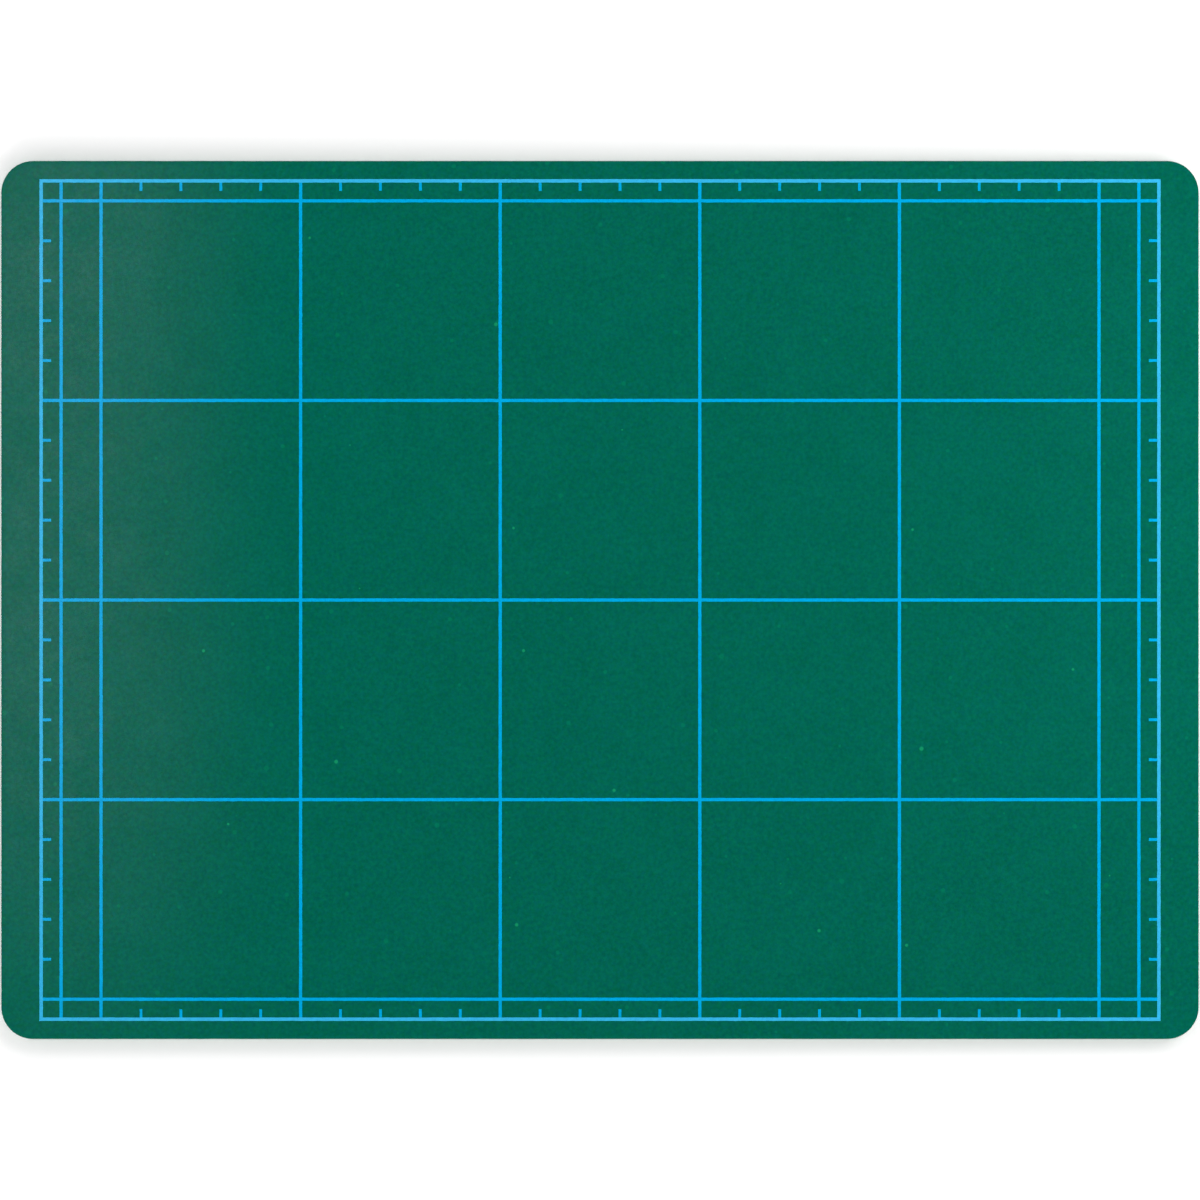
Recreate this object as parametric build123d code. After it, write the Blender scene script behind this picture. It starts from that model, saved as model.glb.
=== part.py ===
from build123d import *

import os

# A five-ply self-healing cutting mat, lying flat with its printed work surface up.
#
# Frame: origin at the centre of the underside, +X along the mat's long side, +Y along its
# short side, away from the user, and +Z up out of the work surface. Millimetres.
#
# The mat is a laminate of five sheets punched out with one die, so every ply has the same
# outline. The measuring grid is one film of screen-printed ink that lies flush in the face of
# the top ply. It is split here by what each stroke is for: border, ticks, grid and margin lines.


# ---- Driving dimensions -------------------------------------------------------------------

MAT_LENGTH = 300.0              # along X
MAT_WIDTH = 220.0               # along Y
CORNER_RADIUS = 8.0             # rounded corners of the cutting die

SURFACE_PLY = 0.6               # self-healing green vinyl, work surface and underside alike
CUSHION_PLY = 0.5               # soft vinyl that a blade tip sinks into
CORE_PLY = 0.8                  # stiff vinyl that keeps the mat flat and stops the blade
ARRIS_RADIUS = 0.25             # the die rolls the outermost edges over slightly

SQUARE = 50.0                   # side of one printed square
COLUMNS = 5                     # squares along X
ROWS = 4                        # squares along Y
TICK_PITCH = 10.0               # one tick for each centimetre

BORDER_LENGTH = 280.0           # border rectangle, measured between the middles of its strokes
BORDER_WIDTH = 210.0
MARGIN_GAP = 10.0               # from the grid's left and right ends out to the margin lines

LINE_WIDTH = 0.8                # grid and margin strokes
BORDER_LINE_WIDTH = 0.85
TICK_WIDTH = 0.7
TICK_REACH = 2.5                # from the middle of the border stroke to a tick's inner end
INK_DEPTH = 0.05                # thickness of the ink film


# ---- Worked-out places --------------------------------------------------------------------

MAT_THICKNESS = 2 * SURFACE_PLY + 2 * CUSHION_PLY + CORE_PLY

GRID_LENGTH = COLUMNS * SQUARE
GRID_WIDTH = ROWS * SQUARE
GRID_COLUMN_LINES = [SQUARE * i - GRID_LENGTH / 2 for i in range(COLUMNS + 1)]
GRID_ROW_LINES = [SQUARE * i - GRID_WIDTH / 2 for i in range(ROWS + 1)]
MARGIN_X = GRID_LENGTH / 2 + MARGIN_GAP

# The clear rectangle inside the border stroke, which the other strokes run out to.
INSIDE_LENGTH = BORDER_LENGTH - BORDER_LINE_WIDTH
INSIDE_WIDTH = BORDER_WIDTH - BORDER_LINE_WIDTH


# ---- Plies --------------------------------------------------------------------------------

def ply(bottom, thickness):
    """One punched sheet of the laminate, with its lower face at height bottom."""
    outline = RectangleRounded(MAT_LENGTH, MAT_WIDTH, CORNER_RADIUS)
    return Pos(0, 0, bottom) * extrude(outline, thickness)


def rolled_over(outer_face):
    """The outer face's sheet, with the slight rounding that the die leaves all round it."""
    return fillet(outer_face.edges(), ARRIS_RADIUS)


def bottom_surface_ply():
    sheet = ply(0, SURFACE_PLY)
    return rolled_over(sheet.faces().sort_by(Axis.Z)[0])


def lower_cushion_ply():
    return ply(SURFACE_PLY, CUSHION_PLY)


def core_ply():
    return ply(SURFACE_PLY + CUSHION_PLY, CORE_PLY)


def upper_cushion_ply():
    return ply(SURFACE_PLY + CUSHION_PLY + CORE_PLY, CUSHION_PLY)


def top_surface_ply(ink_strokes):
    """The work surface, with a shallow bed for every ink stroke."""
    sheet = ply(MAT_THICKNESS - SURFACE_PLY, SURFACE_PLY)
    return rolled_over(sheet.faces().sort_by(Axis.Z)[-1]) - ink_strokes


# ---- Printed ink --------------------------------------------------------------------------

def printed(pattern):
    """The ink film of a flat pattern, flush with the work surface."""
    return Pos(0, 0, MAT_THICKNESS - INK_DEPTH) * extrude(pattern, INK_DEPTH)


def bar(x, y, length_x, length_y):
    """A straight stroke centred at x, y."""
    return Pos(x, y) * Rectangle(length_x, length_y)


def between(marks, pitch):
    """Places every pitch apart between each mark and the next, with none on the marks."""
    count = round((marks[1] - marks[0]) / pitch)
    return [mark + pitch * i for mark in marks[:-1] for i in range(1, count)]


def border_line():
    """The rectangle that frames the whole print."""
    outside = Rectangle(BORDER_LENGTH + BORDER_LINE_WIDTH, BORDER_WIDTH + BORDER_LINE_WIDTH)
    return printed(outside - Rectangle(INSIDE_LENGTH, INSIDE_WIDTH))


def grid_lines():
    """One net of crossing strokes: every stroke runs right across to the border."""
    columns = [bar(x, 0, LINE_WIDTH, INSIDE_WIDTH) for x in GRID_COLUMN_LINES]
    rows = [bar(0, y, INSIDE_LENGTH, LINE_WIDTH) for y in GRID_ROW_LINES]
    return printed(Sketch() + columns + rows)


def margin_line(side):
    """The line outside one end of the grid, in the lengths that the grid's rows cut it into."""
    stops = [-INSIDE_WIDTH / 2]
    for y in GRID_ROW_LINES:
        stops += [y - LINE_WIDTH / 2, y + LINE_WIDTH / 2]
    stops.append(INSIDE_WIDTH / 2)
    lengths = []
    for low, high in zip(stops[0::2], stops[1::2]):
        lengths.append(printed(bar(side * MARGIN_X, (low + high) / 2, LINE_WIDTH, high - low)))
    return Compound(lengths)


def ticks_along_length(side):
    """Centimetre ticks that stand on the border's top (+1) or bottom (-1) stroke."""
    length = TICK_REACH - BORDER_LINE_WIDTH / 2
    y = side * (INSIDE_WIDTH - length) / 2
    return Compound([
        printed(bar(x, y, TICK_WIDTH, length)) for x in between(GRID_COLUMN_LINES, TICK_PITCH)
    ])


def ticks_along_width(side):
    """Centimetre ticks that stand on the border's right (+1) or left (-1) stroke."""
    length = TICK_REACH - BORDER_LINE_WIDTH / 2
    x = side * (INSIDE_LENGTH - length) / 2
    return Compound([
        printed(bar(x, y, length, TICK_WIDTH)) for y in between(GRID_ROW_LINES, TICK_PITCH)
    ])


# ---- The assembly -------------------------------------------------------------------------

ink = {
    "border_line": border_line(),
    "grid_lines": grid_lines(),
    "margin_line_left": margin_line(-1),
    "margin_line_right": margin_line(+1),
    "tick_marks_top": ticks_along_length(+1),
    "tick_marks_bottom": ticks_along_length(-1),
    "tick_marks_left": ticks_along_width(-1),
    "tick_marks_right": ticks_along_width(+1),
}

plies = {
    "bottom_surface_ply": bottom_surface_ply(),
    "lower_cushion_ply": lower_cushion_ply(),
    "core_ply": core_ply(),
    "upper_cushion_ply": upper_cushion_ply(),
    "top_surface_ply": top_surface_ply(list(ink.values())),
}

os.makedirs("parts", exist_ok=True)
for name, shape in (plies | ink).items():
    export_step(shape, f"parts/{name}.step")
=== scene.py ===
import math

import bmesh
import bpy
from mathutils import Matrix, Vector, noise


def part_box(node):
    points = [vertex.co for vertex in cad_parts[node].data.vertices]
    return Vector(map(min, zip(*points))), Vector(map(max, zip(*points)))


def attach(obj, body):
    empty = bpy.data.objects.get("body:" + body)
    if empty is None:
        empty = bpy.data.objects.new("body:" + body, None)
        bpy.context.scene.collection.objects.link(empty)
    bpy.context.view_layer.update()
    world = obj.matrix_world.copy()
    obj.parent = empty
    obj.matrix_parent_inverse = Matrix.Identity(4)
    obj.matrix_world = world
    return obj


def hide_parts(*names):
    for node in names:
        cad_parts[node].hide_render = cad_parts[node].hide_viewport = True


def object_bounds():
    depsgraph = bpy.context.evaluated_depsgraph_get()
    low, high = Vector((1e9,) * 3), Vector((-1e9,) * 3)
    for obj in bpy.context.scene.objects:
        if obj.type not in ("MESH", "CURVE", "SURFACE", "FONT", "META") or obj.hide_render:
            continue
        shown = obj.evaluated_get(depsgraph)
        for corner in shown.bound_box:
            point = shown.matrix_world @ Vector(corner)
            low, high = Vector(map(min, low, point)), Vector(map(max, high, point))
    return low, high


# A printed five-ply cutting mat, lying on a pale floor and seen from straight above.
#
# The plies and the ink film are meshed here over their CAD nodes. The plies get the edge that a
# punching die leaves, and the ink gets the relief and slightly uneven outline of a screen print.
# Every length and place is in metres, in the frame's own coordinates.

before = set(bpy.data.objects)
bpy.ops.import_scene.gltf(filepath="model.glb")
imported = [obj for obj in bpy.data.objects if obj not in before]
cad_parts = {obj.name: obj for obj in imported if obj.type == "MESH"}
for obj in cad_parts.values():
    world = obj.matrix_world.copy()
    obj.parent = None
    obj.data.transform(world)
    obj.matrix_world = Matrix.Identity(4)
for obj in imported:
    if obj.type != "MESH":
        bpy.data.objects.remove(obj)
cad_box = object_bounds()

MM = 0.001


# ---- Sizes ----------------------------------------------------------------------------------

CORNER_RADIUS = 8 * MM
ARRIS_RADIUS = 0.25 * MM        # the outer faces' edges, rolled over by the die
RIM_WIDTH = 1.5 * MM            # flat ring inside the arris, so that it shades on its own
EDGE_STEP = 1.5 * MM            # spacing of the points along a ply's outline
CORNER_STEPS = 14               # straight lengths that a rounded corner is made of
ARRIS_STEPS = 5                 # flats that the rolled arris is made of
CUSHION_RECESS = 0.06 * MM      # soft plies spring back behind the stiff ones when cut
EDGE_WANDER = 0.03 * MM         # how far a punched edge strays from its line
EDGE_WAVE = 5 * MM              # how far apart its strays are
SHARP_ANGLE = 50                # degrees: a ply's edges that turn by more aren't shaded smooth

INK_HEIGHT = 0.025 * MM         # above the vinyl
INK_SINK = 0.01 * MM            # below it, so that no gap shows
INK_SHOULDER = 0.04 * MM        # width of the slope down each side of a stroke
INK_STEP = 0.8 * MM             # spacing of the points along a stroke
INK_WANDER = 0.05 * MM          # how far a stroke's outline strays from its line
INK_WAVE = 1.6 * MM             # how far apart its strays are

NOISE_SEED = 1                  # noise_vector follows it, and would follow the clock otherwise
CAD_DIGITS = 6                  # decimals that tell one place in the CAD's ink from another
POINT_DIGITS = 7                # decimals that tell one point of a film from another


# ---- Mesh building --------------------------------------------------------------------------

noise.seed_set(NOISE_SEED)


def wander(point, wave, reach):
    """A smooth random shift at a place: broad waves, and finer ones that are half as strong."""
    at = Vector(point) / wave
    broad = noise.noise_vector(at)
    fine = noise.noise_vector(at * 2.3)
    return (broad + 0.5 * fine) * reach


def finished_piece(bm, name, material, node):
    """Turns a bmesh into the piece that stands for a CAD node."""
    bmesh.ops.recalc_face_normals(bm, faces=bm.faces)
    mesh = bpy.data.meshes.new(name)
    bm.to_mesh(mesh)
    bm.free()
    mesh.materials.append(material)
    piece = bpy.data.objects.new(name, mesh)
    bpy.context.scene.collection.objects.link(piece)
    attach(piece, "root")
    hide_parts(node)
    return piece


# ---- Plies ----------------------------------------------------------------------------------

def outline(half_length, half_width):
    """Points round a ply's outline, each with its outward direction."""
    points = []
    flat_x = half_length - CORNER_RADIUS
    flat_y = half_width - CORNER_RADIUS
    corners = [(flat_x, flat_y), (-flat_x, flat_y), (-flat_x, -flat_y), (flat_x, -flat_y)]
    for quarter, corner in enumerate(corners):
        centre = Vector((*corner, 0))
        for step in range(CORNER_STEPS + 1):
            angle = math.radians(90 * (quarter + step / CORNER_STEPS))
            outward = Vector((math.cos(angle), math.sin(angle), 0))
            points.append((centre + outward * CORNER_RADIUS, outward))
        here, outward = points[-1]
        there = Vector((*corners[(quarter + 1) % 4], 0)) + outward * CORNER_RADIUS
        count = round((there - here).length / EDGE_STEP)
        points += [(here.lerp(there, i / count), outward) for i in range(1, count)]
    return points


def straight_edge(low, high):
    """A cut edge's profile, as insets from the outline and heights: square."""
    return [(0, low), (0, (low + high) / 2), (0, high)]


def hollow_edge(low, high):
    """A cut edge that springs back in its middle."""
    shares = (0, 0.2, 0.5, 0.8, 1)
    insets = [CUSHION_RECESS * math.sin(math.pi * share) for share in shares]
    return [(inset, low + (high - low) * share) for inset, share in zip(insets, shares)]


def rolled_edge(inner, outer):
    """A cut edge whose outer arris is rounded, from its inner face to its outer one."""
    up = 1 if outer > inner else -1
    profile = [(0, inner), (0, (inner + outer) / 2)]
    for step in range(ARRIS_STEPS + 1):
        angle = math.radians(90 * step / ARRIS_STEPS)
        inset = ARRIS_RADIUS * (1 - math.cos(angle))
        short = ARRIS_RADIUS * (1 - math.sin(angle))
        profile.append((inset, outer - up * short))
    profile.append((RIM_WIDTH, outer))
    return profile


def ply(node, material, profile):
    """One punched ply: a ring of faces for each step of the profile, and a face at each end."""
    far_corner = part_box(node)[1]
    points = outline(far_corner.x, far_corner.y)
    bm = bmesh.new()
    rings = []
    for inset, z in profile:
        ring = []
        for place, outward in points:
            at = Vector((place.x, place.y, z))
            stray = wander(at, EDGE_WAVE, EDGE_WANDER).dot(outward)
            at -= outward * (inset + abs(stray))
            ring.append(bm.verts.new(at))
        rings.append(ring)
    for ring, other in zip(rings, rings[1:]):
        for i in range(len(points)):
            j = (i + 1) % len(points)
            bm.faces.new((ring[i], ring[j], other[j], other[i]))
    bm.faces.new(rings[0])
    bm.faces.new(rings[-1])
    piece = finished_piece(bm, node.replace("_ply", "_sheet"), material, node)
    piece.data.shade_smooth()
    piece.data.set_sharp_from_angle(angle=math.radians(SHARP_ANGLE))


# ---- Ink ------------------------------------------------------------------------------------

def printed_cells(node):
    """The rectangles that make up a CAD ink node, seen from above."""
    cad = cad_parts[node]
    xs = sorted({round(v.co.x, CAD_DIGITS) for v in cad.data.vertices})
    ys = sorted({round(v.co.y, CAD_DIGITS) for v in cad.data.vertices})
    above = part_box(node)[1].z + MM
    down = Vector((0, 0, -1))
    for x0, x1 in zip(xs, xs[1:]):
        for y0, y1 in zip(ys, ys[1:]):
            middle = Vector(((x0 + x1) / 2, (y0 + y1) / 2, above))
            inked = cad.ray_cast(middle, down)[0]
            if inked:
                yield x0, x1, y0, y1


def steps(low, high):
    """Places from low to high, about a step apart."""
    count = max(1, round((high - low) / INK_STEP))
    return [low + (high - low) * i / count for i in range(count + 1)]


def ink_film(node, material):
    """A node's strokes as one film of ink: a flat top, sloping shoulders and an uneven outline."""
    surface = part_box(node)[1].z
    bm = bmesh.new()
    corners = {}

    def corner(x, y):
        key = (round(x, POINT_DIGITS), round(y, POINT_DIGITS))
        if key not in corners:
            shift = wander((x, y, 0), INK_WAVE, INK_WANDER)
            corners[key] = bm.verts.new((x + shift.x, y + shift.y, surface - INK_SINK))
        return corners[key]

    for x0, x1, y0, y1 in printed_cells(node):
        xs = steps(x0, x1)
        ys = steps(y0, y1)
        for xa, xb in zip(xs, xs[1:]):
            for ya, yb in zip(ys, ys[1:]):
                bm.faces.new((corner(xa, ya), corner(xb, ya), corner(xb, yb), corner(xa, yb)))
    grown = bmesh.ops.extrude_face_region(bm, geom=bm.faces[:], use_keep_orig=True)["geom"]
    raised = [v for v in grown if isinstance(v, bmesh.types.BMVert)]
    top = [f for f in grown if isinstance(f, bmesh.types.BMFace)]
    bmesh.ops.translate(bm, verts=raised, vec=(0, 0, INK_SINK))
    bmesh.ops.inset_region(
        bm, faces=top, thickness=INK_SHOULDER, depth=INK_HEIGHT, use_even_offset=True
    )
    finished_piece(bm, node + "_ink", material, node)


# ---- Materials ------------------------------------------------------------------------------

NOISE_LOW = 0.3                 # nearly all of a smooth noise lies between these two
NOISE_HIGH = 0.7
SMALLEST_SPOT = 0.4             # a spot's size is from this to 1 + this, times the radius given
SPOT_HEART = 0.6                # share of a spot's size inside which it is at full strength


class Surface:
    """A material under construction. Each call adds a node and returns its output socket."""

    def __init__(self, name, ior):
        self.material = bpy.data.materials.new(name)
        self.material.use_nodes = True
        self.tree = self.material.node_tree
        self.shader = self.tree.nodes["Principled BSDF"]
        self.place = self.tree.nodes.new("ShaderNodeTexCoord").outputs["Object"]
        self.use("IOR", ior)

    def node(self, kind, settings, inputs, output):
        """A node of that kind, with its settings made and its inputs set or linked."""
        node = self.tree.nodes.new(kind)
        for key, value in settings.items():
            setattr(node, key, value)
        for key, value in inputs.items():
            if isinstance(value, bpy.types.NodeSocket):
                self.tree.links.new(value, node.inputs[key])
            else:
                node.inputs[key].default_value = value
        return node.outputs[output]

    def stretched(self, x, y, z):
        """The place, with its coordinates multiplied."""
        return self.node("ShaderNodeMapping", {}, {"Vector": self.place, "Scale": (x, y, z)}, 0)

    def clouds(self, size, detail=2.0, place=None):
        """Smooth noise from 0 to 1 whose features are about size across."""
        inputs = {"Vector": place or self.place, "Scale": 1 / size, "Detail": detail}
        return self.node("ShaderNodeTexNoise", {}, inputs, "Fac")

    def more_like(self, clouds):
        """Two more noises of the same kind as the given one, but independent of it."""
        colour = {"Color": clouds.node.outputs["Color"]}
        split = self.node("ShaderNodeSeparateColor", {}, colour, 0).node
        return split.outputs[1], split.outputs[2]

    def spots(self, spacing, radius, share):
        """1 on round spots in a share of the cells of a flat scatter, and 0 elsewhere."""
        flat = {"voronoi_dimensions": "2D"}
        inputs = {"Vector": self.place, "Scale": 1 / spacing}
        voronoi = self.node("ShaderNodeTexVoronoi", flat, inputs, "Distance").node
        chance = self.node("ShaderNodeSeparateColor", {}, {"Color": voronoi.outputs["Color"]}, 0)
        in_cells = radius / spacing
        extra = self.times(chance.node.outputs[1], in_cells)
        size = self.sum(SMALLEST_SPOT * in_cells, extra)
        outward = self.maths("DIVIDE", voronoi.outputs["Distance"], size)
        inside = self.ranged(outward, SPOT_HEART, 1.0, 1, 0)
        return self.times(inside, self.maths("LESS_THAN", chance, share))

    def ranged(self, value, low, high, to_low, to_high):
        """value mapped from low..high to to_low..to_high, and held there."""
        inputs = {0: value, 1: low, 2: high, 3: to_low, 4: to_high}
        return self.node("ShaderNodeMapRange", {"clamp": True}, inputs, 0)

    def spread(self, clouds, low=0, high=1):
        """Smooth noise stretched to run from low to high."""
        return self.ranged(clouds, NOISE_LOW, NOISE_HIGH, low, high)

    def maths(self, operation, a, b):
        return self.node("ShaderNodeMath", {"operation": operation}, {0: a, 1: b}, 0)

    def times(self, a, b):
        return self.maths("MULTIPLY", a, b)

    def sum(self, a, b):
        return self.maths("ADD", a, b)

    def mixed(self, share, a, b):
        """Colour a, turning to colour b as share goes from 0 to 1."""
        settings = {"data_type": "RGBA"}
        inputs = {0: share, 6: a, 7: b}     # a colour mix's two colours are its sockets 6 and 7
        return self.node("ShaderNodeMix", settings, inputs, 2)

    def bump(self, height, distance, over=None):
        """A relief of that height in metres, on top of another relief."""
        inputs = {"Height": height, "Distance": distance, "Strength": 1.0}
        if over is not None:
            inputs["Normal"] = over
        return self.node("ShaderNodeBump", {}, inputs, 0)

    def use(self, name, value):
        """Gives the shader's socket of that name a link or a plain value."""
        if isinstance(value, bpy.types.NodeSocket):
            self.tree.links.new(value, self.shader.inputs[name])
        else:
            self.shader.inputs[name].default_value = value


def shade(colour, by):
    """A colour made lighter or darker."""
    return (*(min(1.0, c * by) for c in colour), 1)


def green_vinyl():
    """Matt vinyl with a fine embossed grain, between green and teal, and a few pale flecks."""
    dark_green = (0.0002, 0.088, 0.042, 1)
    light_green = (0.0008, 0.116, 0.068, 1)
    dark_teal = (0.0002, 0.073, 0.056, 1)
    light_teal = (0.0008, 0.101, 0.083, 1)
    faint_fleck = (0.001, 0.17, 0.08, 1)
    clear_fleck = (0.008, 0.28, 0.11, 1)
    s = Surface("green_vinyl", ior=1.08)
    grain = s.clouds(0.9 * MM, detail=3.5)
    hue, gloss = s.more_like(grain)
    clouding = s.clouds(14 * MM, detail=3.0)
    tone = s.sum(s.times(grain, 0.8), s.times(clouding, 0.2))
    lightness = s.spread(tone)
    green = s.mixed(lightness, dark_green, light_green)
    teal = s.mixed(lightness, dark_teal, light_teal)
    colour = s.mixed(s.spread(hue), green, teal)
    faint = s.spots(spacing=14 * MM, radius=0.55 * MM, share=0.5)
    colour = s.mixed(s.times(faint, 0.4), colour, faint_fleck)
    clear = s.spots(spacing=37 * MM, radius=0.45 * MM, share=0.5)
    colour = s.mixed(s.times(clear, 0.6), colour, clear_fleck)
    s.use("Base Color", colour)
    wear = s.clouds(9 * MM, detail=4.0)
    unevenness = s.sum(s.times(wear, 0.5), s.times(gloss, 0.5))
    s.use("Roughness", s.ranged(unevenness, 0.35, 0.65, 0.36, 0.49))
    waviness = s.bump(s.clouds(30 * MM, detail=1.0), 0.15 * MM)
    embossing = s.bump(s.clouds(0.8 * MM, detail=1.5), 0.03 * MM, over=waviness)
    s.use("Normal", s.bump(s.clouds(0.25 * MM, detail=2.0), 0.012 * MM, over=embossing))
    return s.material


def pale_green_vinyl():
    """Soft vinyl, pale green and a little cloudy, with the fine upright marks of the cut."""
    dark = (0.08, 0.21, 0.15, 1)
    light = (0.18, 0.35, 0.26, 1)
    s = Surface("pale_green_vinyl", ior=1.44)
    streaks = s.clouds(0.6 * MM, place=s.stretched(1, 1, 0.15))
    s.use("Base Color", s.mixed(streaks, dark, light))
    s.use("Roughness", s.spread(s.clouds(2 * MM), 0.38, 0.55))
    s.use("Normal", s.bump(streaks, 0.05 * MM))
    return s.material


def off_white_vinyl():
    """Stiff off-white vinyl with the upright marks of the cut."""
    dark = (0.34, 0.36, 0.32, 1)
    light = (0.50, 0.52, 0.47, 1)
    s = Surface("off_white_vinyl", ior=1.44)
    streaks = s.clouds(0.4 * MM, place=s.stretched(1, 1, 0.1))
    s.use("Base Color", s.mixed(streaks, dark, light))
    s.use("Roughness", s.spread(s.clouds(2 * MM), 0.42, 0.6))
    s.use("Normal", s.bump(streaks, 0.05 * MM))
    return s.material


def printing_ink(name, blue, through):
    """Screen-printed ink, slightly uneven in tone.

    through is how far its colour turns to that of the vinyl below it where it is thinnest.
    """
    green_below = (0.001, 0.18, 0.27, 1)
    darker = shade(blue, 0.93)
    lighter = shade(blue, 1.06)
    s = Surface(name, ior=1.07)
    colour = s.mixed(s.spread(s.clouds(0.9 * MM)), darker, lighter)
    thin = s.ranged(s.clouds(0.5 * MM, detail=1.0), 0.55, 0.8, 0, through)
    s.use("Base Color", s.mixed(thin, colour, green_below))
    s.use("Roughness", s.spread(s.clouds(3 * MM), 0.33, 0.43))
    s.use("Normal", s.bump(s.clouds(0.8 * MM, detail=1.5), 0.015 * MM))
    return s.material


# ---- The object -----------------------------------------------------------------------------

green = green_vinyl()
pale_green = pale_green_vinyl()
off_white = off_white_vinyl()
line_ink = printing_ink("line_ink", blue=(0.0, 0.295, 0.58), through=0.4)
border_ink = printing_ink("border_ink", blue=(0.028, 0.35, 0.61), through=0.3)


def heights(node):
    """The heights of a node's lower and upper faces."""
    low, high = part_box(node)
    return low.z, high.z


low, high = heights("bottom_surface_ply")
ply("bottom_surface_ply", green, rolled_edge(inner=high, outer=low))
ply("lower_cushion_ply", pale_green, hollow_edge(*heights("lower_cushion_ply")))
ply("core_ply", off_white, straight_edge(*heights("core_ply")))
ply("upper_cushion_ply", pale_green, hollow_edge(*heights("upper_cushion_ply")))
low, high = heights("top_surface_ply")
ply("top_surface_ply", green, rolled_edge(inner=low, outer=high))

ink_film("border_line", border_ink)
ink_film("grid_lines", line_ink)
for side in ("left", "right"):
    ink_film("margin_line_" + side, line_ink)
for side in ("top", "bottom", "left", "right"):
    ink_film("tick_marks_" + side, line_ink)


# ---- Floor, light and camera ----------------------------------------------------------------

FLOOR_SIZE = 40.0
VIEW_WIDTH = 300.6 * MM         # what the picture's width takes in at the mat's top face
LENS = 200.0                    # long, so that the view is nearly parallel, like the picture's
SENSOR = 36.0

# The surroundings' brightness, by the sine of the angle above the horizon.
SKY = [(0.08, 0.8), (0.2, 2.2), (0.5, 2.2), (0.75, 0.0)]

# The lamps that veil the mat's left side: their place, how far from the spot below it each one
# shines, and the y and share of the watts of each one.
SHEEN_X = -0.153
SHEEN_HEIGHT = 0.2
SHEEN_REACH = 0.086
SHEEN_WATTS = 1.5
SHEEN_COLOUR = (1.0, 0.75, 1.0)
SHEEN_LAMPS = [(0.11, 1.3), (0.06, 1), (0.01, 1), (-0.04, 0.9), (-0.09, 0.25)]


def floor():
    """A plain pale floor at the height of the mat's underside."""
    pale = (0.88, 0.88, 0.88, 1)
    s = Surface("floor_paint", ior=1.2)
    s.use("Base Color", pale)
    s.use("Roughness", 0.9)
    bpy.ops.mesh.primitive_plane_add(size=FLOOR_SIZE, location=(0, 0, cad_box[0].z))
    plane = bpy.context.object
    plane.name = "floor"
    plane.data.materials.append(s.material)


def sky():
    """White surroundings: plain at the horizon, brighter above it, and black overhead."""
    world = bpy.data.worlds.new("studio")
    bpy.context.scene.world = world
    world.use_nodes = True
    tree = world.node_tree
    place = tree.nodes.new("ShaderNodeTexCoord")
    split = tree.nodes.new("ShaderNodeSeparateXYZ")
    ramp = tree.nodes.new("ShaderNodeValToRGB")
    tree.links.new(place.outputs["Generated"], split.inputs["Vector"])
    tree.links.new(split.outputs["Z"], ramp.inputs["Fac"])
    tree.links.new(ramp.outputs["Color"], tree.nodes["Background"].inputs["Color"])
    stops = ramp.color_ramp.elements
    while len(stops) < len(SKY):
        stops.new(0.5)          # its real position is set below
    for stop, (height, light) in zip(stops, SKY):
        stop.position = height
        stop.color = (light, light, light, 1)


def panel(name, place, size, watts):
    """A soft rectangular light aimed at the mat. It isn't seen itself, straight or in a gloss."""
    light = bpy.data.lights.new(name, "AREA")
    light.shape = "RECTANGLE"
    light.size, light.size_y = size
    light.energy = watts
    lamp = bpy.data.objects.new(name, light)
    lamp.location = place
    lamp.rotation_euler = (-Vector(place)).to_track_quat("-Z", "Y").to_euler()
    lamp.visible_camera = False
    lamp.visible_glossy = False
    bpy.context.scene.collection.objects.link(lamp)


def sheen():
    """A row of narrow lamps over the left edge. They show only as a gloss: the veil there."""
    for y, share in SHEEN_LAMPS:
        light = bpy.data.lights.new("sheen", "SPOT")
        light.energy = SHEEN_WATTS * share
        light.color = SHEEN_COLOUR
        light.shadow_soft_size = 0
        light.spot_size = 2 * math.atan(SHEEN_REACH / SHEEN_HEIGHT)
        light.spot_blend = 1
        lamp = bpy.data.objects.new("sheen", light)
        lamp.location = (SHEEN_X, y, SHEEN_HEIGHT)
        lamp.visible_diffuse = False
        bpy.context.scene.collection.objects.link(lamp)


def camera():
    """A camera straight above the mat's middle, with the picture's up along +Y."""
    data = bpy.data.cameras.new("camera")
    data.lens = LENS
    data.sensor_width = SENSOR
    view = bpy.data.objects.new("camera", data)
    distance = VIEW_WIDTH * LENS / SENSOR
    view.location = (0, 0, cad_box[1].z + distance)
    bpy.context.scene.collection.objects.link(view)
    bpy.context.scene.camera = view


floor()
sky()
panel("front", place=(0, -1.2, 0.45), size=(1.2, 0.4), watts=9.0)
panel("back", place=(0, 0.4, 0.3), size=(0.4, 0.2), watts=0.64)
panel("key", place=(0.29, 0.04, 0.15), size=(0.16, 0.16), watts=0.33)
panel("fill", place=(-0.25, -0.02, 0.30), size=(0.3, 0.3), watts=0.14)
sheen()
camera()
bpy.context.scene.view_settings.view_transform = "Standard"
